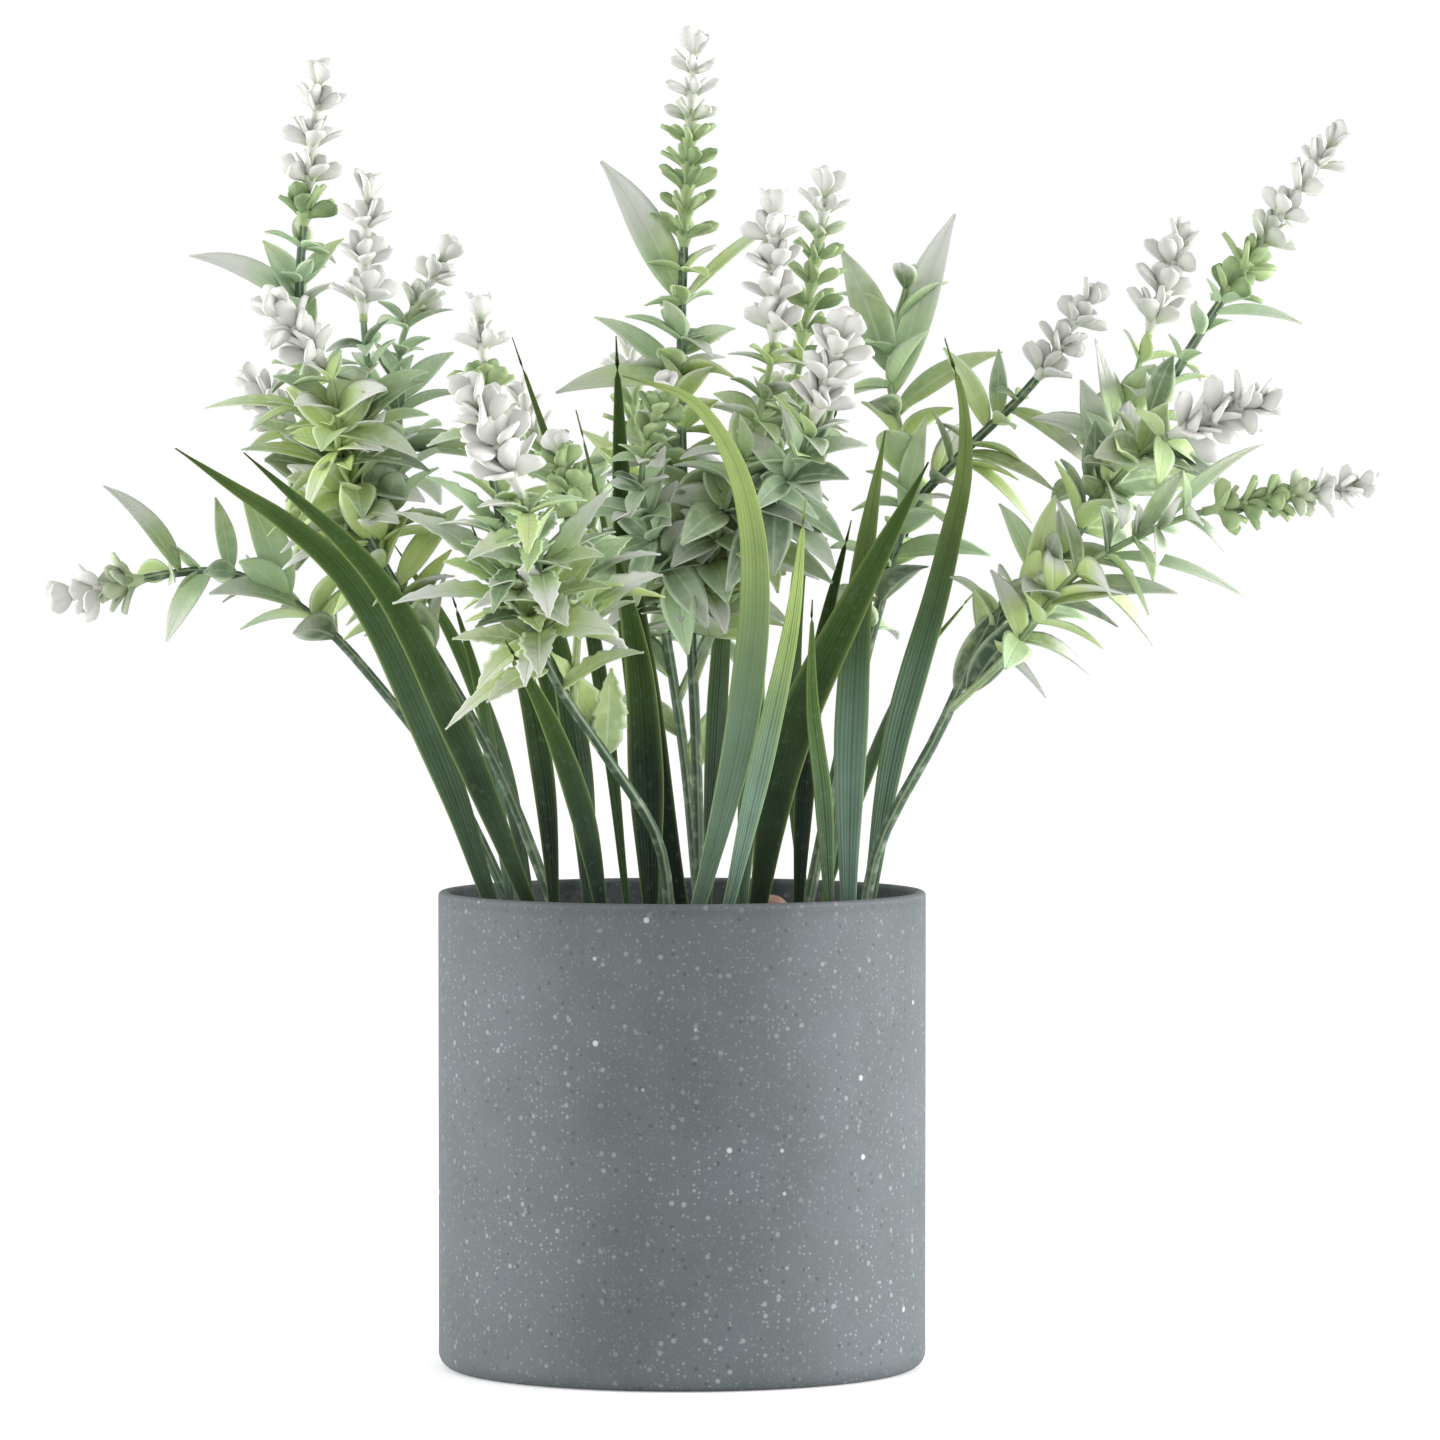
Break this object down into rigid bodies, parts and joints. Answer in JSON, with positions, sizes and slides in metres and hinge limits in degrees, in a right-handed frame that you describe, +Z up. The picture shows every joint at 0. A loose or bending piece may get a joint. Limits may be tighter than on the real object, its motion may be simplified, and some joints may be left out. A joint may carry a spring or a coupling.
{
  "type": "potted flowering plant",
  "caption": "Small artificial lavender-like plant with pale flower spikes, leafy stems and long grass blades, in a plain round speckled pot.",
  "frame": {"origin": "centre of the pot's flat underside", "axes": "+Z up along the pot's axis, front towards -Y, +X to the right seen from the front"},
  "size_m": [0.2365, 0.1429, 0.2439],
  "materials": {
    "pot": "matte",
    "soil": "matte",
    "pebble": "matte",
    "grass": "satin",
    "leafy_stem": "matte",
    "flower": "matte"
  },
  "bodies": {
    "root": {"pot": "pot", "soil": "soil", "pebble": "pebble", "grass_outer_left": "grass", "grass_second_left": "grass", "grass_left_upright": "grass", "grass_left_inner": "grass", "grass_left_back": "grass", "grass_left_slim_tall": "grass", "grass_left_slim_short": "grass", "grass_left_middle": "grass", "grass_dark_tall": "grass", "grass_dark_broad": "grass", "grass_front_left_low": "grass", "grass_centre_arching": "grass", "grass_centre_pale": "grass", "grass_centre_back": "grass", "grass_centre_back_left": "grass", "grass_right_broad": "grass", "grass_right_upright": "grass", "grass_right_arching": "grass", "grass_right_inner": "grass", "grass_right_inner_low": "grass", "grass_right_back": "grass", "grass_right_back_tall": "grass", "grass_back_middle": "grass", "grass_back_left": "grass", "grass_back_right": "grass", "leafy_stem_left": "leafy_stem", "flower_spike_left_1": "flower", "flower_spike_left_2": "flower", "flower_spike_left_3": "flower", "flower_spike_left_4": "flower", "flower_spike_left_5": "flower", "leafy_stem_low_left": "leafy_stem", "flower_spike_low_left_1": "flower", "leafy_stem_front_left": "leafy_stem", "flower_spike_front_left_1": "flower", "flower_spike_front_left_2": "flower", "flower_spike_front_left_3": "flower", "leafy_stem_centre": "leafy_stem", "flower_spike_centre_1": "flower", "flower_spike_centre_2": "flower", "flower_spike_centre_3": "flower", "flower_spike_centre_4": "flower", "flower_spike_centre_5": "flower", "leafy_stem_centre_right": "leafy_stem", "flower_spike_centre_right_1": "flower", "leafy_stem_right": "leafy_stem", "flower_spike_right_1": "flower", "flower_spike_right_2": "flower", "flower_spike_right_3": "flower", "flower_spike_right_4": "flower", "leafy_stem_back": "leafy_stem", "flower_spike_back_1": "flower", "flower_spike_back_2": "flower", "flower_spike_back_3": "flower"}
  },
  "joints": []
}
